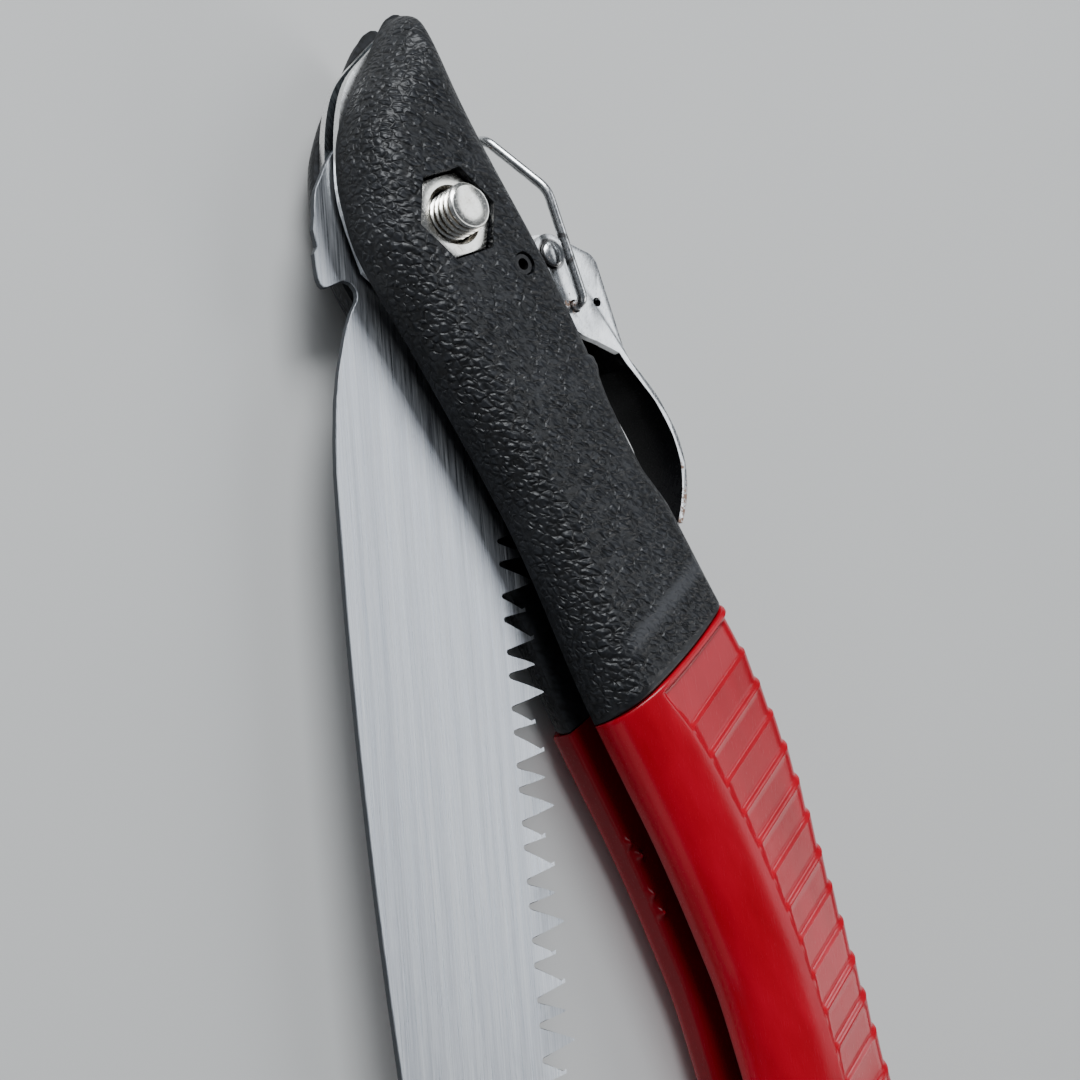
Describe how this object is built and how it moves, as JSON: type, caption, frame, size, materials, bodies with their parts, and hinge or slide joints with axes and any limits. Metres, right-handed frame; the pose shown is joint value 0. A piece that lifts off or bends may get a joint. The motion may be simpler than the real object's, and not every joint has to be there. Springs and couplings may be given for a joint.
{
  "type": "folding pruning saw",
  "caption": "Folding pruning saw with a curved handle, a toothed blade on a bolted pivot, and a lock lever with a wire bail on its back.",
  "frame": {"origin": "on the blade's pivot axis, on the pivot bolt head's flat face, which is in the plane that the saw rests on", "axes": "+X from the pivot along the handle, +Y to the handle's back with the lock lever, +Z from the bolt's head to its nut"},
  "size_m": [0.2873, 0.1379, 0.027],
  "materials": {
    "blade_steel": "satin, brushed lengthwise",
    "plate_steel": "bright cut edges",
    "zinc_plate": "bright zinc plate",
    "bright_plate": "bright plated, with scratches and a little rust",
    "grained_black_plastic": "moulded leather grain, semi-gloss",
    "red_plastic": "smooth, glossy",
    "inner_black_plastic": "plain moulded",
    "black_steel": "blackened"
  },
  "bodies": {
    "handle": {"nut_side_liner": "plate_steel", "head_side_liner": "plate_steel", "nut_side_washer": "zinc_plate", "head_side_washer": "zinc_plate", "nut_side_cover": "grained_black_plastic", "head_side_cover": "grained_black_plastic", "nut_side_grip": "red_plastic", "head_side_grip": "red_plastic", "pivot_bush": "zinc_plate", "pivot_bolt": "zinc_plate", "pivot_nut": "zinc_plate", "stop_pin": "black_steel", "spine_spacer": "inner_black_plastic", "lever_rivet": "bright_plate", "cover_screw": "zinc_plate", "grip_screw_front": "zinc_plate", "grip_screw_middle": "zinc_plate", "grip_screw_rear": "zinc_plate", "grip_screw_tail": "zinc_plate"},
    "blade": {"saw_blade": "blade_steel"},
    "lever": {"lock_lever": "bright_plate"},
    "bail": {"wire_bail": "bright_plate"}
  },
  "joints": [
    {"name": "blade_pivot", "type": "hinge", "parent": "handle", "child": "blade", "pos_m": [0, 0, 0.012], "axis": [0, 0, -1], "range_deg": [-18.5, 152.5]},
    {"name": "lever_pivot", "type": "hinge", "parent": "handle", "child": "lever", "pos_m": [0.0119, 0.0204, 0.012], "axis": [0, 0, 1], "range_deg": [0, 95]},
    {"name": "bail_pivot", "type": "hinge", "parent": "lever", "child": "bail", "pos_m": [0.0213, 0.0201, 0.012], "axis": [0, 0, 1], "range_deg": [-100, 0]}
  ],
  "couplings": [
    {"joint": "bail_pivot", "follows": "lever_pivot", "ratio": -1.05}
  ]
}
